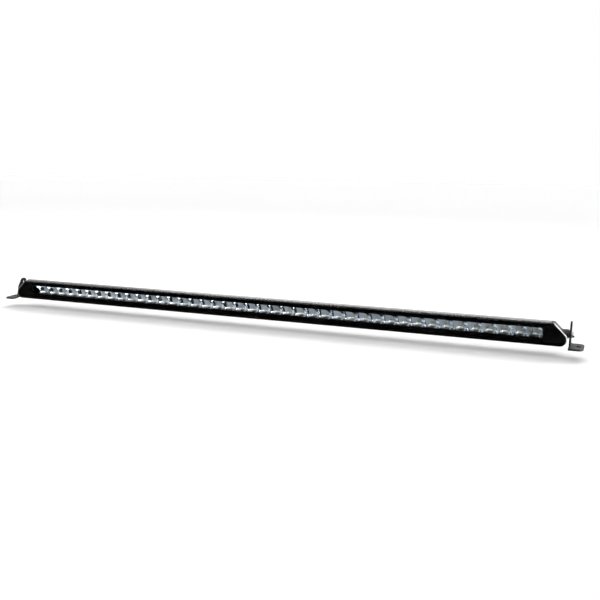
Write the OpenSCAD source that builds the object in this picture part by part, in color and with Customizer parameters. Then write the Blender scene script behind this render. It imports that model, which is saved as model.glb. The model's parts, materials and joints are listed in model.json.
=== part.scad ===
// Single-row LED light bar for a truck or trailer.
// X runs along the bar, +Y points from the lens to the cooling fins, Z is up.
// The origin is under the middle of the bar, on the surface that the feet stand on,
// and the swivel axis of the two end brackets lies in the plane Y = 0.

/* [Light row] */
// Number of reflector modules side by side
module_count = 7; // [3:1:9]
// LED cells in one reflector module
cells_per_module = 6; // [6:2:8]
// Distance from one LED to the next
cell_pitch = 25; // [24:0.5:27]
// Height of the open mouth of a cell
mouth_height = 17.6; // [16:0.2:17.8]
// Height of the cells' mirrored floor above the mounting surface
cell_floor = 13.2; // [13:0.1:13.4]
// Blank lens beyond the last cell at each end
end_margin = 42.3; // [41.5:0.1:50]

/* [Lens] */
// Front face of the lens in front of the swivel axis
lens_forward = 20.5; // [20:0.5:22]
// Thickness of the lens sheet
lens_thickness = 4; // [3:0.5:4]
// Height of the lower edge above the mounting surface
lens_bottom = 1.8; // [1.5:0.1:2]
// Height of the upper edge above the mounting surface
lens_top = 41; // [40:0.5:41]
// Radius of the two lower corners
corner_r = 12; // [10:0.5:12]
// Radius of the two upper corners, where the slanted ends begin
top_corner_r = 3; // [2:0.5:4]
// Height of the clear window in the black border
window_height = 17.4; // [16:0.2:17.8]

/* [Housing] */
// Distance from the swivel axis to the tips of the cooling fins
back_depth = 31.5; // [31:0.5:36]
// Number of cooling fins
fin_count = 5; // [3:1:6]
// Thickness of a cooling fin
fin_thickness = 2; // [1.6:0.1:2.2]
// Depth of the end gaskets
gasket_thickness = 1; // [0.5:0.1:1.5]

/* [Swivel] */
// Height of the swivel axis above the mounting surface
pivot_z = 20.5; // [20:0.25:21]
// Radius of the round boss on each end cap
boss_r = 8; // [7:0.5:9]
// Radius of the swivel bolt, 3 for an M6 bolt
pivot_bolt_r = 3; // [3:0.5:4]
// Width across the flats of the bolt head
bolt_head_af = 10; // [10:0.5:13]
// Height of the bolt head
bolt_head_h = 3.8; // [3.5:0.1:5]

/* [Brackets] */
// Thickness of the bracket sheet
plate = 3; // [2.5:0.5:3]
// Length of the foot along the vehicle's surface, square to the bar
foot_length = 42; // [38:1:44]
// How far the foot reaches outwards from the inner face of the upright
foot_reach = 24; // [24:1:30]
// Distance from the swivel axis to the rear end of the foot
foot_rear = 10.5; // [9:0.5:12]
// Radius of the mounting hole in the foot, 4.5 for an M8 bolt
foot_hole_r = 4.5; // [3.3:0.1:5]
// Radius of the ear at the top of the upright
ear_r = 8.25; // [7:0.25:9]

/* [Hidden] */
$fn = 64;
skin = 0.05;                // sliding gap on flat faces that turn on each other
slack = 0.02;               // radial gap of a thread or a plug in its hole
module_len = cells_per_module * cell_pitch;
row_half = module_count * module_len / 2;
half_len = row_half + end_margin;
housing_half = half_len - 26.5;
cap_start = housing_half + gasket_thickness;

lens_front = -lens_forward;
lens_back = lens_front + lens_thickness;
body_front = lens_back + 1;
seal_width = 3;
seal_inset = 0.8;
bezel_inset = seal_inset + seal_width + 0.2;
bezel_thickness = 0.8;
window_r = 5;
window_half = row_half + 3;
lip = 1;                    // return lip around the window, and end walls of the row
slant_sum = half_len + lens_bottom + corner_r * sqrt(2);

window_z = cell_floor + mouth_height / 2;

cup_front = lens_front + 10;
cup_vertex = 16.4;          // bottom of the paraboloid, behind the LED
cup_depth = cup_vertex - cup_front;
mouth_r = norm([cell_pitch / 2, mouth_height]);
focal = pow(mouth_r, 2) / (4 * cup_depth);
cup_wall = 1.2;
cup_steps = 6;
floor_rear = 9;             // rear edge of the mirrored floor between two cells
opening_half = 8.5;         // half width of the opening over each LED
opening_front = cup_front + 3;
led_y = cup_vertex - focal;
opening_back = led_y + 2.4;
flange_thickness = 1.5;     // rim that the bezel presses on, below and above the cells
flange_low = 1.4;
flange_high = 2.2;
end_wall_back = 6;

board_top = cell_floor - 0.8;
board_thickness = 1.6;
board_front = -8;
board_back = 17;
pad_thickness = 0.5;
shelf_z = board_top - board_thickness - pad_thickness;
cavity_back = 18.5;
cavity_high = 36.8;
cavity_bend = 3;            // behind this the cavity narrows with the tapering body
cavity_taper = 2.6;
fin_root = cavity_back + 2.5;
fins_low = 10.2;
fins_high = 32.8;
fin_pitch = (fins_high - fins_low - fin_thickness) / (fin_count - 1);
belly_slots = [-8 : 5.5 : 14];
belly_slot_width = 3;
belly_slot_top = shelf_z - 3;
crest = [-9, 28.6];         // centre of the rounded front edge of the roof
crest_r = 14;
roof_slope = 12.6;
groove_depth = 0.6;
groove_width = 3;
belly_z = 2.2;
belly_bend = -4;

port_r = 3.2;               // screw ports along the housing, for the cap screws
port_hole_r = 1.65;
ports = [[-11.5, 6.4], [25, 12], [25, 31.5]];
cap_screw_r = 1.6;
cap_screw_grip = 9;         // length of its thread in the housing
cap_screw_head_r = 3.1;
cap_screw_head_h = 2.2;
cap_floor = 2;              // metal under the head of a cap screw
socket_depth = 1.4;
socket_r = 1.5;
cap_step_y = 3;             // where the end cap steps in, behind the lens
cap_step = 8;
boss_face = half_len + 0.3;

rear_row_y = 14.6;          // screws, chokes and links stand here, behind the ridges between cells
screw_x = 2 * cell_pitch;   // board screws, from the middle of a module
screw_hole_r = 1.6;
screw_head_r = 2.75;
screw_head_h = 2;
screw_bite = 2.4;           // depth of a board screw in the shelf
choke = [4, 4.2, 4];        // size of a choke
driver_chip = [3.6, 4, 1.2];
board_link = [5, 3.6, 2.4];
led_half = 1.75;            // half width of an LED's carrier
led_carrier_h = 0.6;
led_dome_r = 1.3;
led_h = 1.2;

service_x = housing_half - 7.5;
service_half = 9;           // half width of the bay between the fins for the gland and the vent
service_half_z = 6.2;
service_z = 22;
gland_r = 5;
gland_hex_r = 6.9;
gland_hex_h = 3.6;
gland_end = 8;              // length of the gland's body behind the housing
gland_thread_r = 5.6;
insert_r = 4.4;
cable_r = 2.5;              // radius of the cable that the gland seals on
nut_start = 3.8;
nut_hex_h = 5.4;
nut_end = 10.5;
nut_nose_r = 5.2;
nut_hole_r = 3.2;
lead_r = 0.8;
lead_offset = 1.2;          // of each lead from the middle of the pair
lead_y = 14.3;              // where the leads come down
lead_overlap = 1;           // length of a lead on its board
vent_r = 3;
vent_cap_r = 6;
vent_cap_h = 3.5;
vent_duct_r = 1;
vent_slit_r = 0.6;

pivot_washer = 1.2;
pivot_washer_r = 6.25;
friction_washer_r = 6.5;
friction_washer = 1.6 - 2 * skin;
plate_in = boss_face + friction_washer + 2 * skin;
plate_out = plate_in + plate;
head_start = plate_out + pivot_washer + skin;
bend_r = 1.5;
bend_out = bend_r + plate;
foot_front = foot_rear - foot_length;
foot_corner_r = 9;
foot_hole_x = plate_in + 14.8;
foot_hole_y = -11;
upright_front = -15.5;
shoulder_z = 6;
shoulder_r = 11;
ear = [5.5, 33.2];
ear_hole_r = 2.7;
edge_inset = 0.03;          // straight edges run this far inside the two rounds they join
shank_start = cap_start + 4;

function module_x(i) = (i - (module_count + 1) / 2) * module_len;
function cell_x(c) = (c - (cells_per_module - 1) / 2) * cell_pitch;
function around(centre, r, a) = centre + r * [cos(a), sin(a)];
function arc(centre, r, a0, a1, steps) =
    [for (i = [0 : steps]) around(centre, r, a0 + (a1 - a0) * i / steps)];
function heading(v) = atan2(v[1], v[0]);

// Helpers: stretch an X-Z outline along Y, or a Y-Z outline along X
module along_y(y0, y1) translate([0, y1, 0]) rotate([90, 0, 0]) linear_extrude(y1 - y0) children();
module along_x(x0, x1) translate([x0, 0, 0]) rotate([90, 0, 90]) linear_extrude(x1 - x0) children();
module rod_x(x0, x1, r) translate([x0, 0, 0]) rotate([0, 90, 0]) cylinder(h = x1 - x0, r = r);
module rod_y(y0, y1, r) translate([0, y0, 0]) rotate([-90, 0, 0]) cylinder(h = y1 - y0, r = r);
module hex_y(y, h, r) translate([0, y, 0]) rotate([-90, 0, 0]) cylinder(h = h, r = r, $fn = 6);
module box(low, high) translate(low) cube(high - low);
module left() mirror([1, 0, 0]) children();

// Front outline of the lamp: flat bottom, round lower corners, ends slanted at 45 degrees
function right_end_points(inset) =
    let (r = corner_r - inset,
         t = max(top_corner_r - inset, 0.6),
         z = lens_top - inset - t,
         x = slant_sum - (inset + t) * sqrt(2) - z)
    concat(arc([half_len - corner_r, lens_bottom + corner_r], r, -90, 45, 14), arc([x, z], t, 45, 90, 4));

module face_outline(inset) {
    points = right_end_points(inset);
    last = len(points) - 1;
    polygon(concat(points, [for (i = [0 : last]) [-points[last - i][0], points[last - i][1]]]));
}

module window_outline(grow) {
    x = window_half + grow;
    z = window_height / 2 + grow;
    r = window_r + grow;
    translate([0, window_z]) {
        square([2 * x, 2 * (z - r)], center = true);
        square([2 * (x - r), 2 * z], center = true);
        for (sx = [-1, 1], sz = [-1, 1]) translate([sx * (x - r), sz * (z - r)]) circle(r);
    }
}

// Outer section of the body: rounded roof edge, then tapering towards the fins
module section_outer() {
    bend = around(crest, crest_r, 90 - roof_slope);
    roof_back = bend[1] - (back_depth - bend[0]) * tan(roof_slope);
    roof_start = acos((body_front - crest[0]) / crest_r);
    polygon(concat([[body_front, belly_z]], arc(crest, crest_r, roof_start, 90 - roof_slope, 8),
                   [[back_depth, roof_back], [back_depth, fins_low], [belly_bend, belly_z]]));
}

module cavity() {
    polygon([[body_front - 1, shelf_z], [body_front - 1, cavity_high], [cavity_bend, cavity_high],
             [cavity_back, cavity_high - cavity_taper], [cavity_back, shelf_z]]);
}

module at_screws() {
    for (i = [1 : module_count], s = [-1, 1])
        translate([module_x(i) + s * screw_x, rear_row_y, 0]) children();
}

module fin_gaps() {
    for (i = [0 : fin_count - 2])
        translate([fin_root, fins_low + fin_thickness + i * fin_pitch])
            square([back_depth - fin_root + 1, fin_pitch - fin_thickness]);
}

// Shallow grooves along the roof
module roof_grooves() {
    for (y = [2 : 7 : back_depth - 6]) {
        roof = crest[1] + crest_r / cos(roof_slope) - (y + groove_width - crest[0]) * tan(roof_slope);
        translate([y, roof - groove_depth]) square([groove_width, 3]);
    }
}

// Slots under the belly, which leave cooling ribs below the LED boards
module belly_gaps() {
    for (y = belly_slots) translate([y, 0]) square([belly_slot_width, belly_slot_top]);
}

module housing_section() {
    difference() {
        section_outer();
        cavity();
        fin_gaps();
        roof_grooves();
        belly_gaps();
    }
}

module housing() color([0.05, 0.05, 0.055]) {
    difference() {
        union() {
            along_x(-housing_half, housing_half) housing_section();
            for (p = ports) translate([0, p[0], p[1]]) rod_x(-housing_half, housing_half, port_r);
        }
        for (p = ports) translate([0, p[0], p[1]]) rod_x(-housing_half - 1, housing_half + 1, port_hole_r);
        for (s = [-1, 1])
            box([s * service_x - service_half, fin_root, service_z - service_half_z],
                [s * service_x + service_half, back_depth + 1, service_z + service_half_z]);
        translate([-service_x, 0, service_z]) rod_y(cavity_back - 1, fin_root + 1, gland_r + slack);
        translate([service_x, 0, service_z]) rod_y(cavity_back - 1, fin_root + 1, vent_r + slack);
        at_screws() translate([0, 0, shelf_z - screw_bite - 0.1]) cylinder(h = 4, r = screw_hole_r);
    }
}

// End cap for the right-hand end; the left one is its mirror image
module end_cap() color([0.07, 0.07, 0.075]) {
    difference() {
        union() {
            intersection() {
                along_x(cap_start, half_len) section_outer();
                union() {
                    along_y(body_front, cap_step_y) face_outline(0.7);
                    translate([-cap_step, 0, 0])
                        along_y(cap_step_y - 1, back_depth) face_outline(0.7);
                }
            }
            translate([0, 0, pivot_z]) rod_x(cap_start + 3, boss_face, boss_r);
        }
        translate([0, 0, pivot_z]) rod_x(shank_start - 1, boss_face + 1, pivot_bolt_r + slack);
        for (p = ports) translate([0, p[0], p[1]]) {
            rod_x(cap_start - 1, cap_start + cap_floor + 1, cap_screw_r + slack);
            rod_x(cap_start + cap_floor, half_len + 1, cap_screw_head_r + 0.3);
        }
    }
}

module end_gasket() color([0.03, 0.03, 0.03]) {
    along_x(housing_half, cap_start) difference() {
        intersection() {
            section_outer();
            translate([body_front, 0]) square([fin_root - body_front, lens_top * 2]);
        }
        cavity();
        translate(ports[0]) circle(port_hole_r + 0.3);
    }
}

module cap_screws() color([0.62, 0.63, 0.65]) {
    for (p = ports) translate([0, p[0], p[1]]) {
        head = cap_start + cap_floor;
        rod_x(housing_half - cap_screw_grip, head + 0.1, cap_screw_r);
        difference() {
            rod_x(head, head + cap_screw_head_h, cap_screw_head_r);
            translate([head + cap_screw_head_h - socket_depth, 0, 0])
                rotate([0, 90, 0]) cylinder(h = socket_depth + 1, r = socket_r, $fn = 6);
        }
    }
}

module lens_cover() color([0.75, 0.8, 0.85, 0.4]) {
    along_y(lens_front, lens_back) face_outline(0);
}

module lens_seal() color([0.02, 0.02, 0.02]) {
    along_y(lens_back, body_front) difference() {
        face_outline(seal_inset);
        face_outline(seal_inset + seal_width);
    }
}

module bezel() color([0.01, 0.01, 0.01]) {
    difference() {
        union() {
            along_y(body_front - bezel_thickness, body_front) face_outline(bezel_inset);
            along_y(body_front - bezel_thickness, cup_front - 0.3) window_outline(lip);
        }
        along_y(lens_back, cup_front + 1) window_outline(0);
    }
}

// Half section of a paraboloid cup, from its vertex to depth y1 in front of it
function cup_curve(y1, grow) =
    [for (i = [0 : cup_steps]) let (y = y1 * pow(i / cup_steps, 2)) [2 * sqrt(focal * y) + grow, y]];

module cup(y1, grow) {
    rotate([90, 0, 0]) rotate_extrude() polygon(concat([[0, -grow]], cup_curve(y1, grow), [[0, y1]]));
}

module at_cells() for (c = [0 : cells_per_module - 1]) translate([cell_x(c), 0, 0]) children();

// Half cups over a mirrored floor, with an opening in the floor over each LED; the cells at the
// ends of the row are a little wider and have an end wall
module reflector(i) color([0.85, 0.87, 0.9]) {
    half = module_len / 2 - 0.1;
    first = -half - (i == 1 ? window_half - row_half : 0);
    last = half + (i == module_count ? window_half - row_half : 0);
    low = first - (i == 1 ? lip : 0);
    high = last + (i == module_count ? lip : 0);
    top = cell_floor + mouth_height;
    translate([module_x(i), 0, 0]) difference() {
        union() {
            intersection() {
                at_cells() translate([0, cup_vertex, cell_floor]) cup(cup_depth - 0.5, cup_wall);
                box([first, cup_front, board_top], [last, cavity_back, top + cup_wall]);
            }
            box([low, cup_front, board_top], [high, floor_rear, cell_floor]);
            box([low, cup_front, board_top - flange_low],
                [high, cup_front + flange_thickness, top + flange_high]);
            if (low < first) box([low, cup_front, board_top], [first + 0.01, end_wall_back, top + cup_wall]);
            if (high > last) box([last - 0.01, cup_front, board_top], [high, end_wall_back, top + cup_wall]);
        }
        intersection() {
            at_cells() translate([0, cup_vertex, cell_floor]) cup(cup_depth + 1, 0);
            box([low < first ? first : -half - 1, cup_front - 1, cell_floor],
                [high > last ? last : half + 1, cavity_back, top]);
        }
        at_cells()
            box([-opening_half, opening_front, board_top - 1],
                [opening_half, opening_back, cell_floor + 0.2]);
    }
}

module led_board(i) color([0.75, 0.78, 0.8]) {
    half = module_len / 2 - 0.2;
    translate([module_x(i), 0, 0]) difference() {
        box([-half, board_front, board_top - board_thickness], [half, board_back, board_top]);
        for (s = [-1, 1]) translate([s * screw_x, rear_row_y, shelf_z]) cylinder(h = 4, r = screw_hole_r);
    }
}

// One LED per cell, facing up: a square carrier with a round lens on it
module led_chips() color([0.95, 0.85, 0.35]) {
    for (i = [1 : module_count], c = [0 : cells_per_module - 1])
        translate([module_x(i) + cell_x(c), led_y, board_top]) {
            box([-led_half, -led_half, 0], [led_half, led_half, led_carrier_h]);
            cylinder(h = led_h, r = led_dome_r);
        }
}

module on_board(size) translate([-size[0] / 2, -size[1] / 2, 0]) cube(size);

// Two chokes and one driver chip on each board, behind the ridges between the cells
module driver_components() color([0.2, 0.2, 0.22]) {
    for (i = [1 : module_count]) translate([module_x(i), rear_row_y, board_top]) {
        for (s = [-1, 1]) translate([s * cell_pitch, 0, 0]) on_board(choke);
        on_board(driver_chip);
    }
}

module board_links() color([0.9, 0.9, 0.88]) {
    for (i = [1 : module_count - 1]) translate([module_x(i) + module_len / 2, rear_row_y, board_top])
        on_board(board_link);
}

module board_screws() color([0.62, 0.63, 0.65]) {
    at_screws() {
        translate([0, 0, shelf_z - screw_bite])
            cylinder(h = board_top - shelf_z + screw_bite + 0.1, r = screw_hole_r - slack);
        translate([0, 0, board_top]) cylinder(h = screw_head_h, r = screw_head_r);
    }
}

module thermal_pads() color([0.55, 0.6, 0.68]) {
    half = module_len / 2 - 1;
    for (i = [1 : module_count]) translate([module_x(i), 0, 0]) difference() {
        box([-half, board_front + 1, shelf_z], [half, board_back - 1, shelf_z + pad_thickness]);
        for (s = [-1, 1]) translate([s * screw_x, rear_row_y, shelf_z - 1]) cylinder(h = 3, r = screw_hole_r);
    }
}

// Two insulated leads: in through the gland, down beside the first board and onto its end
module input_leads() color([0.6, 0.08, 0.06]) {
    low = board_top + lead_r;
    for (s = [-1, 1]) {
        x = -service_x + s * lead_offset;
        y = lead_y + s * lead_offset;
        translate([x, 0, service_z]) rod_y(y, cavity_back - 1.2, lead_r);
        translate([x, y, service_z]) sphere(lead_r);
        translate([x, y, low]) cylinder(h = service_z - low, r = lead_r);
        translate([x, y, low]) sphere(lead_r);
        translate([0, y, low]) rod_x(x, -row_half + lead_overlap, lead_r);
    }
}

module cable_gland() color([0.03, 0.03, 0.03]) {
    translate([-service_x, 0, service_z]) difference() {
        union() {
            rod_y(cavity_back - 1, fin_root + 1, gland_r);
            hex_y(fin_root, gland_hex_h, gland_hex_r);
            rod_y(fin_root + 3, fin_root + gland_end, gland_thread_r);
        }
        rod_y(cavity_back - 2, fin_root + gland_end + 1, cable_r + 0.3);
        rod_y(fin_root + 2, fin_root + gland_end + 1, insert_r);
    }
}

module gland_insert() color([0.06, 0.06, 0.06]) {
    translate([-service_x, 0, service_z]) difference() {
        rod_y(fin_root + 2, fin_root + gland_end + 1, insert_r - slack);
        rod_y(fin_root + 1, fin_root + gland_end + 2, cable_r);
    }
}

module gland_nut() color([0.04, 0.04, 0.04]) {
    translate([-service_x, 0, service_z]) difference() {
        union() {
            hex_y(fin_root + nut_start, nut_hex_h, gland_hex_r);
            rod_y(fin_root + nut_start + nut_hex_h - 0.2, fin_root + nut_end, nut_nose_r);
        }
        rod_y(fin_root + 3, fin_root + gland_end + 1, gland_thread_r + slack);
        rod_y(fin_root + gland_end, fin_root + nut_end + 1, nut_hole_r);
    }
}

module breather_vent() color([0.04, 0.04, 0.04]) {
    translate([service_x, 0, service_z]) difference() {
        union() {
            rod_y(cavity_back - 1, fin_root + 1, vent_r);
            rod_y(fin_root, fin_root + vent_cap_h, vent_cap_r);
        }
        rod_y(cavity_back - 2, fin_root + 2, vent_duct_r);
        for (a = [0, 90])
            translate([0, fin_root + 1.5, 0]) rotate([0, a, 0])
                rod_x(-vent_cap_r - 1, vent_cap_r + 1, vent_slit_r);
    }
}

// Upright of the bracket: shoulder round the swivel hole, leaning back to an ear with a second hole
module upright_outline() {
    pivot = [0, pivot_z];
    base_front = [upright_front, shoulder_z];
    base_rear = [foot_rear, shoulder_z];
    low_r = shoulder_r - edge_inset;
    top_r = ear_r - edge_inset;
    front_angle = heading(base_front - pivot) + 360 - acos(low_r / norm(base_front - pivot));
    ear_front = heading(ear - pivot) + acos((low_r - top_r) / norm(ear - pivot));
    ear_rear = heading(base_rear - ear) + acos(top_r / norm(base_rear - ear));
    polygon([[upright_front, bend_out], base_front, around(pivot, low_r, front_angle),
             around(pivot, low_r, ear_front), around(ear, top_r, ear_front), ear,
             around(ear, top_r, ear_rear), base_rear, [foot_rear, bend_out]]);
    translate(pivot) circle(shoulder_r);
    translate(ear) circle(ear_r);
}

module foot_outline() {
    tip = plate_in + foot_reach;
    difference() {
        translate([plate_in, foot_front]) square([foot_reach, foot_length]);
        translate([plate_in - 1, upright_front]) square([bend_out + 1, foot_rear - upright_front + 1]);
        for (y = [foot_front, foot_rear - foot_corner_r])
            translate([tip - foot_corner_r, y]) square([foot_corner_r + 1, foot_corner_r]);
    }
    for (y = [foot_front + foot_corner_r, foot_rear - foot_corner_r])
        translate([tip - foot_corner_r, y]) circle(foot_corner_r);
}

module bracket() color([0.12, 0.12, 0.125]) {
    difference() {
        union() {
            along_x(plate_in, plate_out) upright_outline();
            linear_extrude(plate) foot_outline();
            intersection() {
                translate([plate_in + bend_out, 0, bend_out]) difference() {
                    rod_y(upright_front, foot_rear, bend_out);
                    rod_y(upright_front - 1, foot_rear + 1, bend_r);
                }
                box([plate_in, upright_front, 0], [plate_in + bend_out, foot_rear, bend_out]);
            }
        }
        translate([0, 0, pivot_z]) rod_x(plate_in - 1, plate_out + 1, pivot_bolt_r + 0.05);
        translate([0, ear[0], ear[1]]) rod_x(plate_in - 1, plate_out + 1, ear_hole_r);
        translate([foot_hole_x, foot_hole_y, -1]) cylinder(h = plate + 2, r = foot_hole_r);
    }
}

module pivot_bolt() color([0.75, 0.76, 0.78]) {
    translate([0, 0, pivot_z]) {
        rod_x(shank_start, head_start + 0.5, pivot_bolt_r);
        translate([head_start, 0, 0]) rotate([0, 90, 0])
            cylinder(h = bolt_head_h, r = bolt_head_af / sqrt(3), $fn = 6);
    }
}

module washer(x0, x1, r) {
    translate([0, 0, pivot_z]) difference() {
        rod_x(x0, x1, r);
        rod_x(x0 - 1, x1 + 1, pivot_bolt_r + 0.2);
    }
}

module pivot_washer() color([0.78, 0.79, 0.8])
    washer(plate_out + skin, plate_out + skin + pivot_washer, pivot_washer_r);

module friction_washer() color([0.1, 0.1, 0.1])
    washer(plate_in - skin - friction_washer, plate_in - skin, friction_washer_r);

housing();
left() end_cap();  // left_end_cap
end_cap();  // right_end_cap
left() end_gasket();  // left_end_gasket
end_gasket();  // right_end_gasket
left() cap_screws();  // left_cap_screws
cap_screws();  // right_cap_screws
lens_cover();
lens_seal();
bezel();
for (i = [1 : module_count]) {
    reflector(i);
    led_board(i);
}
led_chips();
driver_components();
board_links();
board_screws();
thermal_pads();
input_leads();
cable_gland();
gland_insert();
gland_nut();
breather_vent();
left() bracket();  // left_bracket
bracket();  // right_bracket
left() pivot_bolt();  // left_pivot_bolt
pivot_bolt();  // right_pivot_bolt
left() pivot_washer();  // left_pivot_washer
pivot_washer();  // right_pivot_washer
left() friction_washer();  // left_friction_washer
friction_washer();  // right_friction_washer
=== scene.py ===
import json
import math

import bmesh
import bpy
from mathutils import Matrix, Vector


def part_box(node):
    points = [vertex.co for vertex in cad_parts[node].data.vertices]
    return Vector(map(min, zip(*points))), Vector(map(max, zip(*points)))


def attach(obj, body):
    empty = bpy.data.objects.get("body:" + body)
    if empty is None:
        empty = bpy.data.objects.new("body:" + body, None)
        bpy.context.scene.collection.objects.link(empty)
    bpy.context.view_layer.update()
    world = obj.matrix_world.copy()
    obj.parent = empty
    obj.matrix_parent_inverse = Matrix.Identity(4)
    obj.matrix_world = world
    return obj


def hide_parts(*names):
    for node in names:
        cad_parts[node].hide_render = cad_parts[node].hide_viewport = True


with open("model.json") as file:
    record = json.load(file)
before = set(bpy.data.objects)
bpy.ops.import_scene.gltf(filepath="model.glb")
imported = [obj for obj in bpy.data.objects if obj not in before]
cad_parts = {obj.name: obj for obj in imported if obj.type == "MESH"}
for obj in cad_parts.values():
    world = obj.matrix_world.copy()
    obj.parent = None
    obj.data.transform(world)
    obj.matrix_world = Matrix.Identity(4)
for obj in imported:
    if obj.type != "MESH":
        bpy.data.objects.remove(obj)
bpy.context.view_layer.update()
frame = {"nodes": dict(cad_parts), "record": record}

MM = 0.001
NODES = frame["nodes"]


# ---------------------------------------------------------------- materials

class Shader:
    """A material's node tree, with short calls for the few nodes the looks need."""

    def __init__(self, name):
        self.material = bpy.data.materials.new(name)
        self.material.use_nodes = True
        self.tree = self.material.node_tree
        self.bsdf = self.tree.nodes["Principled BSDF"]
        self.coords = self.tree.nodes.new("ShaderNodeTexCoord").outputs["Object"]

    def set(self, **values):
        for name, value in values.items():
            self.bsdf.inputs[name.replace("_", " ")].default_value = value
        return self

    def link(self, a, b):
        self.tree.links.new(a, b)

    def stretched(self, scale):
        node = self.tree.nodes.new("ShaderNodeMapping")
        node.inputs["Scale"].default_value = scale
        self.link(self.coords, node.inputs["Vector"])
        return node.outputs["Vector"]

    def noise(self, scale, detail=4.0, roughness=0.55, stretch=None):
        node = self.tree.nodes.new("ShaderNodeTexNoise")
        node.inputs["Scale"].default_value = scale
        node.inputs["Detail"].default_value = detail
        node.inputs["Roughness"].default_value = roughness
        self.link(self.stretched(stretch) if stretch else self.coords, node.inputs["Vector"])
        return node.outputs["Fac"]

    def cells(self, scale):
        node = self.tree.nodes.new("ShaderNodeTexVoronoi")
        node.inputs["Scale"].default_value = scale
        self.link(self.coords, node.inputs["Vector"])
        return node.outputs["Distance"]

    def span(self, value, low, high, start=0.0, end=1.0):
        node = self.tree.nodes.new("ShaderNodeMapRange")
        node.inputs["From Min"].default_value = start
        node.inputs["From Max"].default_value = end
        node.inputs["To Min"].default_value = low
        node.inputs["To Max"].default_value = high
        self.link(value, node.inputs["Value"])
        return node.outputs["Result"]

    def math(self, operation, *values):
        node = self.tree.nodes.new("ShaderNodeMath")
        node.operation = operation
        for value, socket in zip(values, node.inputs):
            self.link(value, socket)
        return node.outputs["Value"]

    def axis(self, name):
        """One coordinate of the object's own space."""
        node = self.tree.nodes.new("ShaderNodeSeparateXYZ")
        self.link(self.coords, node.inputs["Vector"])
        return node.outputs[name]

    def ramp(self, value, *stops):
        node = self.tree.nodes.new("ShaderNodeValToRGB")
        ends = node.color_ramp.elements
        for i, (place, color) in enumerate(stops):
            stop = ends[i] if i < 2 else ends.new(place)
            stop.position = place
            stop.color = (*color, 1.0)
        self.link(value, node.inputs["Fac"])
        return node.outputs["Color"]

    def color(self, value):
        self.link(value, self.bsdf.inputs["Base Color"])
        return self

    def roughness(self, value):
        self.link(value, self.bsdf.inputs["Roughness"])
        return self

    def bump(self, *layers):
        """Layers of (height, distance in metres, strength), the broadest first."""
        normal = None
        for height, distance, strength in layers:
            node = self.tree.nodes.new("ShaderNodeBump")
            node.inputs["Distance"].default_value = distance
            node.inputs["Strength"].default_value = strength
            self.link(height, node.inputs["Height"])
            if normal is not None:
                self.link(normal, node.inputs["Normal"])
            normal = node.outputs["Normal"]
        self.link(normal, self.bsdf.inputs["Normal"])
        return self


MASK_EDGE = 9.5 * MM  # Y where the boards' white mask starts
END_WALL_SHADE = 525.7 * MM  # the mirror coat ends this far from the middle of the row; past it the end walls are painted black, as painted shade
SOFT_LINE = 0.3 * MM  # width of the edge of a painted area
CUT_FACE = (0.3, 0.5)  # X of the normal at which the lens's cut edge starts to look frosted, and is
CUT_EDGE_CLARITY = 0.3
CUT_EDGE_ROUGHNESS = 0.35


def grey(v, tint=0.0):
    return (v, v, v * (1 + tint))


def anodised_housing():
    s = Shader("anodised_housing").set(Metallic=0.0, IOR=1.5)
    s.bsdf.inputs["Coat Weight"].default_value = 1.0
    s.bsdf.inputs["Coat Roughness"].default_value = 0.22
    drawn = s.noise(900, 3, 0.6, (0.012, 1, 1))
    mottle = s.noise(60, 5)
    s.color(s.ramp(mottle, (0.3, grey(0.020, 0.05)), (0.7, grey(0.032, 0.05))))
    s.roughness(s.span(drawn, 0.42, 0.55))
    return s.bump((drawn, 0.00001, 0.3), (s.noise(2600, 2), 0.00001, 0.3)).material


def powder_coat(name, dark, light, shine):
    s = Shader(name).set(Metallic=0.0, IOR=1.5)
    s.bsdf.inputs["Specular IOR Level"].default_value = shine
    grain = s.cells(1400)
    mottle = s.noise(80, 4)
    s.color(s.ramp(mottle, (0.3, grey(dark, 0.03)), (0.7, grey(light, 0.03))))
    s.roughness(s.span(s.noise(300, 3), 0.42, 0.58))
    return s.bump((grain, 0.00012, 0.55), (s.noise(3000, 2), 0.00004, 0.4)).material


def clear_polycarbonate():
    """Clear sheet, frosted on the cut edges of its two ends."""
    s = Shader("clear_polycarbonate").set(Metallic=0.0, IOR=1.45)
    s.bsdf.inputs["Base Color"].default_value = (0.97, 0.985, 0.99, 1)
    split = s.tree.nodes.new("ShaderNodeSeparateXYZ")
    s.link(s.tree.nodes.new("ShaderNodeNewGeometry").outputs["Normal"], split.inputs["Vector"])
    frost = s.span(s.math("ABSOLUTE", split.outputs["X"]), 0.0, 1.0, *CUT_FACE)
    s.link(s.span(frost, 1.0, CUT_EDGE_CLARITY), s.bsdf.inputs["Transmission Weight"])
    polish = s.span(s.noise(35, 3), 0.0, 0.012)
    s.roughness(s.math("ADD", polish, s.span(frost, 0.0, CUT_EDGE_ROUGHNESS)))
    return s.bump((s.noise(14, 1), 0.00002, 0.15)).material


def printed_black():
    s = Shader("printed_black").set(Metallic=0.0)
    s.bsdf.inputs["Specular IOR Level"].default_value = 0.03
    s.color(s.ramp(s.noise(50, 3), (0.3, grey(0.0010)), (0.7, grey(0.0028))))
    s.roughness(s.span(s.noise(500, 3), 0.4, 0.55))
    return s.bump((s.noise(900, 2), 0.00002, 0.2)).material


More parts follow.
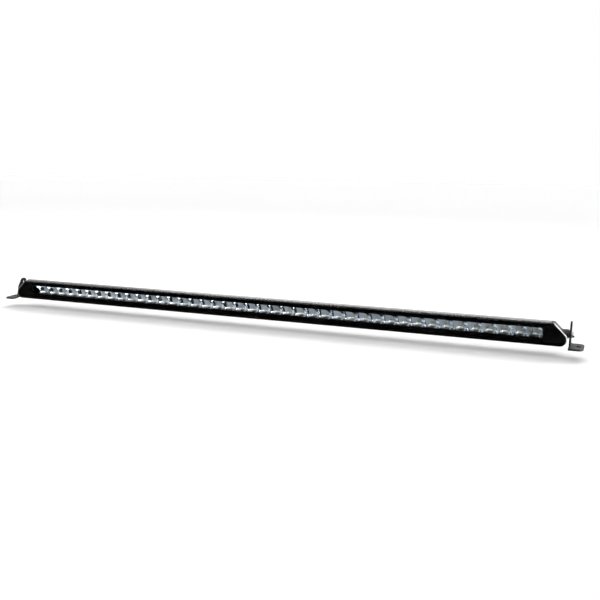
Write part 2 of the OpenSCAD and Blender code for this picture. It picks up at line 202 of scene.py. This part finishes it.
def mirror_coat_with_painted_shade():
    """Mirror metal, with the end walls of the row painted black: painted shade that darkens the first and
    last cells.
    """
    s = Shader("mirror_coat_with_painted_shade").set(Metallic=1.0)
    # Painted shade: past the end-wall line the base colour turns near-black (0.004), so the first and
    # last cells show dark.
    metal = s.span(s.math("ABSOLUTE", s.axis("X")), 1.0, 0.0, END_WALL_SHADE, END_WALL_SHADE + SOFT_LINE)
    tint = s.ramp(s.noise(40, 3), (0.35, (0.80, 0.84, 0.88)), (0.65, (0.90, 0.92, 0.94)))
    painted_shade_mix = s.tree.nodes.new("ShaderNodeMix")
    painted_shade_mix.data_type = "RGBA"
    painted_shade_mix.inputs["A"].default_value = (0.004, 0.004, 0.004, 1)
    s.link(metal, painted_shade_mix.inputs["Factor"])
    s.link(tint, painted_shade_mix.inputs["B"])
    s.color(painted_shade_mix.outputs["Result"])
    s.roughness(s.span(s.noise(250, 4), 0.05, 0.13))
    return s.bump((s.noise(160, 2), 0.00005, 0.35), (s.noise(1600, 2), 0.00001, 0.3)).material


def rubber():
    s = Shader("seal_rubber").set(Metallic=0.0)
    s.color(s.ramp(s.noise(120, 4), (0.3, grey(0.010)), (0.7, grey(0.022))))
    s.roughness(s.span(s.noise(400, 3), 0.65, 0.85))
    return s.bump((s.noise(1500, 3), 0.00006, 0.5)).material


def nylon():
    s = Shader("black_nylon").set(Metallic=0.0)
    s.color(s.ramp(s.noise(200, 4), (0.3, grey(0.014)), (0.7, grey(0.030))))
    s.roughness(s.span(s.noise(600, 3), 0.42, 0.6))
    return s.bump((s.noise(1800, 3), 0.00006, 0.5)).material


def stainless():
    s = Shader("stainless_steel").set(Metallic=1.0)
    turned = s.noise(1500, 3, 0.6, (1, 0.15, 1))
    s.color(s.ramp(s.noise(90, 3), (0.3, (0.50, 0.49, 0.48)), (0.7, (0.68, 0.67, 0.66))))
    s.roughness(s.span(turned, 0.2, 0.38))
    return s.bump((turned, 0.00003, 0.4)).material


def solder_mask():
    """White mask round the LEDs, black towards the lens."""
    s = Shader("solder_mask").set(Metallic=0.0)
    white = s.span(s.axis("Y"), 0.0, 1.0, MASK_EDGE - SOFT_LINE, MASK_EDGE)
    speckle = s.span(s.noise(70, 4), 0.92, 1.08)
    s.color(s.ramp(s.math("MULTIPLY", white, speckle),
                   (0.0, (0.010, 0.011, 0.011)), (0.9, (0.70, 0.74, 0.77))))
    s.roughness(s.span(s.noise(500, 3), 0.3, 0.45))
    return s.bump((s.noise(700, 3), 0.00004, 0.4)).material


def phosphor():
    s = Shader("led_phosphor").set(Metallic=0.0)
    s.bsdf.inputs["Coat Weight"].default_value = 1.0
    s.color(s.ramp(s.noise(900, 3), (0.3, (0.60, 0.58, 0.46)), (0.7, (0.70, 0.69, 0.58))))
    s.roughness(s.span(s.noise(900, 2), 0.35, 0.5))
    return s.bump((s.noise(2500, 2), 0.00003, 0.3)).material


def moulded(name, dark, light, rough=(0.4, 0.6)):
    s = Shader(name).set(Metallic=0.0)
    s.color(s.ramp(s.noise(150, 4), (0.3, dark), (0.7, light)))
    s.roughness(s.span(s.noise(500, 3), *rough))
    return s.bump((s.noise(1600, 3), 0.00005, 0.4)).material


SLOT_MATERIALS = {
    "housing_coat": anodised_housing(),
    "cap_coat": powder_coat("cap_powder_coat", 0.012, 0.022, 0.4),
    "bracket_coat": powder_coat("bracket_powder_coat", 0.008, 0.015, 0.15),
    "clear_lens": clear_polycarbonate(),
    "black_border": printed_black(),
    "seal_rubber": rubber(),
    "metallised_reflector": mirror_coat_with_painted_shade(),
    "board_mask": solder_mask(),
    "led_package": phosphor(),
    "component_black": moulded("component_black", grey(0.02), grey(0.05)),
    "connector_white": moulded("connector_white", grey(0.66), grey(0.78)),
    "thermal_pad": moulded("thermal_pad", (0.30, 0.36, 0.44), (0.38, 0.44, 0.52), (0.7, 0.85)),
    "lead_insulation": moulded("lead_insulation", (0.36, 0.02, 0.015), (0.46, 0.04, 0.03)),
    "black_nylon": nylon(),
    "stainless_fasteners": stainless(),
}


def dress_cad_nodes():
    """Every CAD node gets the material of its slot."""
    for part in frame["record"]["subparts"]:
        mesh = NODES[part["node"]].data
        mesh.materials.clear()
        mesh.materials.append(SLOT_MATERIALS[part["material_slot"]])


def soften(node, width):
    """Rounds the sharp edges of a CAD node by a small bevel."""
    bevel = NODES[node].modifiers.new("edge_softening", "BEVEL")
    bevel.width = width
    bevel.segments = 2
    bevel.limit_method = "ANGLE"
    bevel.angle_limit = math.radians(30)
    bevel.harden_normals = True


# ---------------------------------------------------------------- mesh helpers

def piece(name, bm, slot, node, smooth_angle):
    """Turns a bmesh into a piece that rides on the lamp, in place of a CAD node."""
    bmesh.ops.recalc_face_normals(bm, faces=bm.faces)
    mesh = bpy.data.meshes.new(name)
    bm.to_mesh(mesh)
    bm.free()
    mesh.materials.append(SLOT_MATERIALS[slot])
    obj = bpy.data.objects.new(name, mesh)
    bpy.context.scene.collection.objects.link(obj)
    mesh.shade_smooth()
    mesh.set_sharp_from_angle(angle=math.radians(smooth_angle))
    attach(obj, "lamp")
    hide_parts(node)


def arc(cx, cz, r, a0, a1, steps):
    """Points on an arc in the X-Z plane, angles in degrees."""
    angles = [math.radians(a0 + (a1 - a0) * i / steps) for i in range(steps + 1)]
    return [(cx + r * math.cos(a), cz + r * math.sin(a)) for a in angles]


def loft(bm, rings):
    """Skins closed rings of equal length, and closes the first and the last with a face."""
    loops = [[bm.verts.new(p) for p in ring] for ring in rings]
    count = len(rings[0])
    for a, b in zip(loops, loops[1:]):
        for i in range(count):
            j = (i + 1) % count
            bm.faces.new((a[i], a[j], b[j], b[i]))
    bm.faces.new(reversed(loops[0]))
    bm.faces.new(loops[-1])


# ---------------------------------------------------------------- lens

LENS_LOW, LENS_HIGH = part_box("lens_cover")
CORNER_R = 12.0 * MM  # lower corners
TOP_R = 3.0 * MM  # corners between the slant and the top
LEAST_R = 0.6 * MM  # the upper corners never get sharper than this
RIM = 2.8 * MM  # radius of the front rim
EXTRA_RING = 0.5 * MM  # a ring beside each cap keeps the cap's shading flat
BACK_EDGE = ((0.1 * MM, 0.1 * MM), (0.0, 0.4 * MM))  # inset, and distance from the back face


def lens_outline(inset):
    """The lens's front outline, moved inwards: round lower corners and ends slanted at 45 degrees."""
    half, low, high = LENS_HIGH.x, LENS_LOW.z, LENS_HIGH.z
    r = CORNER_R - inset
    t = max(TOP_R - inset, LEAST_R)
    slant = half + low + CORNER_R * math.sqrt(2)
    z = high - inset - t
    x = slant - (inset + t) * math.sqrt(2) - z
    right = arc(half - CORNER_R, low + CORNER_R, r, -90, 45, 20) + arc(x, z, t, 45, 90, 8)
    return right + [(-px, pz) for px, pz in reversed(right)]


def lens_sheet():
    """Clear sheet with a rounded rim."""
    front, back = LENS_LOW.y, LENS_HIGH.y
    profile = [(2 * EXTRA_RING, back), (EXTRA_RING, back)]
    profile += [(inset, back - depth) for inset, depth in BACK_EDGE]
    profile += [(RIM * (1 - math.cos(math.radians(a))), front + RIM * (1 - math.sin(math.radians(a))))
                for a in range(0, 91, 10)]
    profile.append((RIM + EXTRA_RING, front))
    bm = bmesh.new()
    loft(bm, [[(x, y, z) for x, z in lens_outline(inset)] for inset, y in profile])
    piece("lens_sheet", bm, "clear_lens", "lens_cover", 40)


# ---------------------------------------------------------------- reflectors

REFLECTORS = sorted(n for n in NODES if n.startswith("reflector_"))
CELLS = 6
PITCH = (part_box("reflector_3")[0].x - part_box("reflector_2")[0].x) / CELLS
BOARD_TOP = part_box("led_board_1")[1].z
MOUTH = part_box("reflector_1")[0].y
CUP_WALL = 1.2 * MM
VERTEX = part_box("reflector_1")[1].y - CUP_WALL
FLANGE_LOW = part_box("reflector_1")[0].z
FLANGE_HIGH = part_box("reflector_1")[1].z
CELL_FLOOR = BOARD_TOP + 0.8 * MM
CELL_TOP = FLANGE_HIGH - 2.2 * MM
MOUTH_HEIGHT = CELL_TOP - CELL_FLOOR
FOCAL = (PITCH ** 2 / 4 + MOUTH_HEIGHT ** 2) / 4 / (VERTEX - MOUTH)
RIDGE = 0.5 * MM  # half the width of the rounded ridge between two cells
EDGE_R = 0.4 * MM  # rounding of the mouth's edges
SKIN = 0.6 * MM  # thickness of floor and flange
OPENING_HALF = 8.5 * MM
OPENING_FRONT = MOUTH + 3.0 * MM
OPENING_BACK = VERTEX - FOCAL + 2.4 * MM
FLOOR_ROW = 4  # the row of faces in section() that has the openings
BOWL_STEPS = 14
OUTER_WALL = (1.5 * MM, 3.0 * MM, 3.7 * MM)  # past the last ridge: bowl goes on, wall starts, wall ends
WALL_SHIFT = 0.75 * MM  # how far the back of the end wall is set outwards
BOX_MARGIN = 0.1 * MM


def bowl(u, w):
    """Y of the mirror at u along the bar from the cell's middle and w above its floor."""
    u = abs(u)
    edge = PITCH / 2 - RIDGE
    depth = (min(u, edge) ** 2 + w * w) / (4 * FOCAL)
    if edge < u <= PITCH / 2:
        t = u - edge
        depth += edge / (2 * FOCAL) * (t - t * t / (2 * RIDGE))
    if u > PITCH / 2:
        depth = (u * u + w * w) / (4 * FOCAL)
    return max(VERTEX - depth, MOUTH + EDGE_R)


def section(u, wall):
    """Front and back points (y, z) of the reflector's sheet at u, from its lower rim to its upper rim."""
    corner = EDGE_R * (1 - math.sqrt(0.5))
    foot = MOUTH + EDGE_R + 0.01 * MM if wall else bowl(u, 0)
    rear = min(OPENING_BACK, foot - 0.2 * MM)
    front = [(MOUTH, FLANGE_LOW), (MOUTH, CELL_FLOOR - EDGE_R), (MOUTH + corner, CELL_FLOOR - corner),
             (MOUTH + EDGE_R, CELL_FLOOR), (min(OPENING_FRONT, rear), CELL_FLOOR), (rear, CELL_FLOOR)]
    back = [(MOUTH + CUP_WALL, FLANGE_LOW), (MOUTH + CUP_WALL, CELL_FLOOR - 2 * SKIN)]
    back += [(max(y, MOUTH + CUP_WALL), CELL_FLOOR - SKIN) for y, z in front[2:]]
    for i in range(BOWL_STEPS + 1):
        w = MOUTH_HEIGHT * i / BOWL_STEPS
        y = foot if wall else bowl(u, w)
        front.append((y, CELL_FLOOR + w))
        back.append((y + CUP_WALL, CELL_FLOOR + w + SKIN * (2 * i / BOWL_STEPS - 1)))
    front += [(MOUTH + EDGE_R, CELL_TOP), (MOUTH + corner, CELL_TOP + corner),
              (MOUTH, CELL_TOP + EDGE_R), (MOUTH, FLANGE_HIGH)]
    back += [(MOUTH + CUP_WALL, CELL_TOP + SKIN)] * 2
    back += [(MOUTH + CUP_WALL, CELL_TOP + 2 * SKIN), (MOUTH + CUP_WALL, FLANGE_HIGH)]
    return front, back


def cell_places():
    """Places across one cell, from its left ridge to just before its right ridge."""
    half = PITCH / 2
    edge = half - RIDGE
    bowl_places = [edge * math.sin(math.radians(a)) for a in range(90, 0, -9)]
    left = sorted([half, half - RIDGE / 2, OPENING_HALF] + bowl_places, reverse=True)
    return [-u for u in left] + [0.0] + list(reversed(left))[:-1]


def over_opening(u_a, u_b, row):
    return row == FLOOR_ROW and max(abs(u_a), abs(u_b)) < OPENING_HALF + 0.01 * MM


def sheet_solid(bm, front, back, is_open):
    """Closed solid between two grids of points, with rims round its outside and its openings."""
    faces = [[bm.verts.new(p) for p in column] for column in front]
    backs = [[bm.verts.new(p) for p in column] for column in back]
    columns, rows = len(front) - 1, len(front[0]) - 1
    solid = {(i, j) for i in range(columns) for j in range(rows) if not is_open(i, j)}
    for i, j in solid:
        quad = [(i, j), (i + 1, j), (i + 1, j + 1), (i, j + 1)]
        bm.faces.new([faces[a][b] for a, b in quad])
        bm.faces.new([backs[a][b] for a, b in reversed(quad)])
        beyond = [(i, j - 1), (i + 1, j), (i, j + 1), (i - 1, j)]
        for k, other in enumerate(beyond):
            if other not in solid:
                (a, b), (c, d) = quad[k], quad[(k + 1) % 4]
                bm.faces.new((faces[c][d], faces[a][b], backs[a][b], backs[c][d]))


def reflector_piece(node):
    """Six cells of the row. The first and the last of the seven also have an end wall."""
    low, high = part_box(node)
    index = REFLECTORS.index(node)
    row_start = (index - len(REFLECTORS) / 2) * CELLS * PITCH
    columns = [(row_start + (c + 0.5) * PITCH + u, u, False) for c in range(CELLS) for u in cell_places()]
    columns.append((row_start + CELLS * PITCH, PITCH / 2, False))
    slope, reach, end = (PITCH / 2 + distance for distance in OUTER_WALL)
    outside = [(slope, False), (reach, False), (reach, True), (end, True)]
    if index == 0:
        middle = row_start + PITCH / 2
        columns = [(middle - u, -u, wall) for u, wall in reversed(outside)] + columns
    if index == len(REFLECTORS) - 1:
        middle = row_start + (CELLS - 0.5) * PITCH
        columns += [(middle + u, u, wall) for u, wall in outside]
    front, back = [], []
    for x, u, wall in columns:
        x = min(max(x, low.x + BOX_MARGIN), high.x - BOX_MARGIN)
        face_points, back_points = section(u, wall)
        shift = math.copysign(WALL_SHIFT, u) if abs(u) >= reach else 0
        back_x = min(max(x + shift, low.x), high.x)
        front.append([(x, y, z) for y, z in face_points])
        back.append([(back_x, y, z) for y, z in back_points])
    bm = bmesh.new()
    sheet_solid(bm, front, back, lambda i, j: over_opening(columns[i][1], columns[i + 1][1], j))
    bmesh.ops.remove_doubles(bm, verts=bm.verts, dist=1e-7)
    piece(node.replace("reflector", "mirror_cells"), bm, "metallised_reflector", node, 40)


# ---------------------------------------------------------------- LEDs and bolts

CARRIER_LEVELS = ((0.0, 0.0), (0.5 * MM, 0.0), (0.6 * MM, 0.14 * MM))  # height, and how far set in
DOME_R = 1.35 * MM
DOME_BASE = 0.55 * MM
BOLT_HEAD = 3.8 * MM
BOLT_SHANK_R = 3.0 * MM


def ring(cx, cy, z, r, count, start=0.0):
    angles = [start + 2 * math.pi * i / count for i in range(count)]
    return [(cx + r * math.cos(a), cy + r * math.sin(a), z) for a in angles]


def emitters():
    """Every LED as a square ceramic carrier with chamfered edges and a domed silicone lens."""
    low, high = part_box("led_chips")
    side = (high.y - low.y) / 2
    y = (high.y + low.y) / 2
    cells = len(REFLECTORS) * CELLS
    bm = bmesh.new()
    for i in range(cells):
        x = (i - (cells - 1) / 2) * PITCH
        corner = side * math.sqrt(2)
        loft(bm, [ring(x, y, low.z + h, corner - inset, 4, math.pi / 4) for h, inset in CARRIER_LEVELS])
        base = low.z + DOME_BASE
        height = high.z - base
        dome = [(base + height * math.sin(math.radians(a)), DOME_R * math.cos(math.radians(a)))
                for a in range(0, 90, 15)]
        loft(bm, [ring(x, y, z, r, 20) for z, r in dome])
    piece("led_emitters", bm, "led_package", "led_chips", 30)


def hex_bolt(side):
    """Swivel bolt with a chamfered hexagon head and a shallow dish in its face."""
    node = "left_pivot_bolt" if side < 0 else "right_pivot_bolt"
    low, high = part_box(node)
    start, end = (low.x, high.x) if side > 0 else (-high.x, -low.x)
    corner = (high.z - low.z) / 2
    flat = corner * math.sqrt(3) / 2
    centre_z = (high.z + low.z) / 2
    count = 48

    def hexagon(limit):
        """Points round a hexagon whose corners are turned down to a radius."""
        points = []
        for i in range(count):
            a = 2 * math.pi * i / count
            to_flat = (a + math.pi / 6) % (math.pi / 3) - math.pi / 6
            points.append((a, min(flat / math.cos(to_flat), limit)))
        return points

    def circle(r):
        return [(2 * math.pi * i / count, r) for i in range(count)]

    neck = end - BOLT_HEAD
    rings = [(start, circle(BOLT_SHANK_R - 0.5 * MM)), (start + 0.5 * MM, circle(BOLT_SHANK_R)),
             (neck, circle(BOLT_SHANK_R)),
             (neck, circle(flat - 0.2 * MM)), (neck + 0.15 * MM, hexagon(corner)),
             (end - 0.8 * MM, hexagon(corner)), (end - 0.45 * MM, hexagon(corner - 0.45 * MM)),
             (end - 0.1 * MM, hexagon(flat)), (end, circle(flat - 0.25 * MM)),
             (end, circle(flat - 1.1 * MM)), (end - 0.25 * MM, circle(flat - 1.5 * MM))]
    bm = bmesh.new()
    loft(bm, [[(side * x, r * math.sin(a), centre_z + r * math.cos(a)) for a, r in points]
              for x, points in rings])
    piece(node.replace("pivot", "swivel"), bm, "stainless_fasteners", node, 28)


# ---------------------------------------------------------------- stage

FLOOR_HALF = 6.0
FLOOR_Z = -18 * MM  # below the feet: the photograph has a white gap between lamp and shadow
WORLD_STRENGTH = 1.35
DIFFUSE_SHARE = 0.82
STRIP_LIGHT = 15
FRONT_RIGHT_LIGHT = 6
SLOT_TOP, SLOT_FOOT, SLOT_SIDE = (-0.14, -0.08), (-0.42, -0.5), (-0.08, 0.06)
CAMERA_PLACE = (0.641, -1.3405, 0.326)
CAMERA_LENS = 47.34
PITCH_DOWN, TURN_LEFT = 11.09, 22.43  # degrees


def floor():
    bm = bmesh.new()
    bmesh.ops.create_grid(bm, x_segments=1, y_segments=1, size=FLOOR_HALF)
    mesh = bpy.data.meshes.new("floor")
    bm.to_mesh(mesh)
    bm.free()
    s = Shader("studio_floor").set(Roughness=0.9)
    s.bsdf.inputs["Base Color"].default_value = (0.93, 0.93, 0.93, 1)
    s.bsdf.inputs["Specular IOR Level"].default_value = 0.1
    mesh.materials.append(s.material)
    obj = bpy.data.objects.new("floor", mesh)
    bpy.context.scene.collection.objects.link(obj)
    obj.location.z = FLOOR_Z
    obj.visible_glossy = False
    obj.visible_transmission = False


def softbox(name, place, target, size, power):
    light = bpy.data.lights.new(name, "AREA")
    light.shape = "RECTANGLE"
    light.size, light.size_y = size
    light.energy = power
    obj = bpy.data.objects.new(name, light)
    bpy.context.scene.collection.objects.link(obj)
    obj.location = place
    obj.rotation_euler = (Vector(target) - Vector(place)).to_track_quat("-Z", "Y").to_euler()


def studio_world():
    """White for the camera. Everything else sees a studio: a bright ceiling, a white wall behind the
    lamp and a strip light on its right. Only what leaves the lens sees the bright front, which has a
    dark slot where the flat of the lens would mirror it."""
    world = bpy.data.worlds.new("studio")
    bpy.context.scene.world = world
    world.use_nodes = True
    tree = world.node_tree
    tree.nodes.clear()
    link = tree.links.new
    out = tree.nodes.new("ShaderNodeOutputWorld")
    mix = tree.nodes.new("ShaderNodeMixShader")
    seen = tree.nodes.new("ShaderNodeBackground")
    seen.inputs["Color"].default_value = (1, 1, 1, 1)
    sky = tree.nodes.new("ShaderNodeBackground")
    path = tree.nodes.new("ShaderNodeLightPath").outputs
    coords = tree.nodes.new("ShaderNodeTexCoord")
    split = tree.nodes.new("ShaderNodeSeparateXYZ")
    link(coords.outputs["Generated"], split.inputs["Vector"])

    def rise(axis, start, end, low, high):
        """Goes smoothly from low to high while the direction's axis goes from start to end."""
        node = tree.nodes.new("ShaderNodeMapRange")
        node.interpolation_type = "SMOOTHSTEP"
        for name, value in (("From Min", start), ("From Max", end), ("To Min", low), ("To Max", high)):
            node.inputs[name].default_value = value
        link(split.outputs[axis], node.inputs["Value"])
        return node.outputs["Result"]

    def combine(operation, *values):
        result = values[0]
        for value in values[1:]:
            node = tree.nodes.new("ShaderNodeMath")
            node.operation = operation
            link(result, node.inputs[0])
            link(value, node.inputs[1])
            result = node.outputs["Value"]
        return result

    def dimmed(is_kind, share):
        """Share for one kind of ray and 1 for the others."""
        node = tree.nodes.new("ShaderNodeMapRange")
        node.inputs["To Min"].default_value = 1.0
        node.inputs["To Max"].default_value = share
        link(is_kind, node.inputs["Value"])
        return node.outputs["Result"]

    ceiling = combine("MULTIPLY", rise("Z", -0.02, 0.35, 0, 1), rise("X", -0.2, 0.8, 1, 0.45))
    wall = rise("Y", 0.05, 0.5, 0, 1)
    strip = combine("MULTIPLY", rise("X", 0.35, 0.6, 0, STRIP_LIGHT), rise("Y", 0.2, 0.4, 1, 0),
                    rise("Y", -0.45, -0.3, 0, 1), rise("Z", 0.65, 0.8, 1, 0), path["Is Glossy Ray"],
                    path["Is Reflection Ray"])
    around_slot = combine("MAXIMUM", rise("Z", *SLOT_TOP, 0, 1), rise("Z", *SLOT_FOOT, 0, 1))
    front = combine("MAXIMUM", around_slot, rise("X", *SLOT_SIDE, 0, 1))
    front = combine("MULTIPLY", front, rise("X", -0.35, 0.15, 1, 0.5), path["Is Transmission Ray"])
    front_right = combine("MULTIPLY", around_slot, rise("X", 0.35, 0.6, 0, FRONT_RIGHT_LIGHT),
                          path["Is Transmission Ray"])
    light = combine("MAXIMUM", ceiling, wall, strip, front, front_right)
    link(combine("MULTIPLY", light, dimmed(path["Is Diffuse Ray"], DIFFUSE_SHARE)), sky.inputs["Color"])
    link(path["Is Camera Ray"], mix.inputs["Fac"])
    link(sky.outputs["Background"], mix.inputs[1])
    link(seen.outputs["Background"], mix.inputs[2])
    link(mix.outputs["Shader"], out.inputs["Surface"])
    sky.inputs["Strength"].default_value = WORLD_STRENGTH


def camera():
    """Level camera to the right of the lamp and above it, turned towards the middle of the bar."""
    data = bpy.data.cameras.new("camera")
    data.sensor_width = 36.0
    data.lens = CAMERA_LENS
    data.clip_start = 0.01
    obj = bpy.data.objects.new("camera", data)
    bpy.context.scene.collection.objects.link(obj)
    obj.location = CAMERA_PLACE
    obj.rotation_euler = (math.radians(90 - PITCH_DOWN), 0, math.radians(TURN_LEFT))
    bpy.context.scene.camera = obj


camera()
studio_world()
floor()
softbox("key_above_behind", (0.1, 1.0, 1.3), (0, 0, 0), (2.8, 1.0), 20)
bpy.context.scene.view_settings.view_transform = "Standard"

dress_cad_nodes()
lens_sheet()
for name in REFLECTORS:
    reflector_piece(name)
emitters()
hex_bolt(-1)
hex_bolt(1)
for name, width in (("left_bracket", 0.4), ("right_bracket", 0.4), ("left_end_cap", 0.6),
                    ("right_end_cap", 0.6), ("left_pivot_washer", 0.2), ("right_pivot_washer", 0.2)):
    soften(name, width * MM)
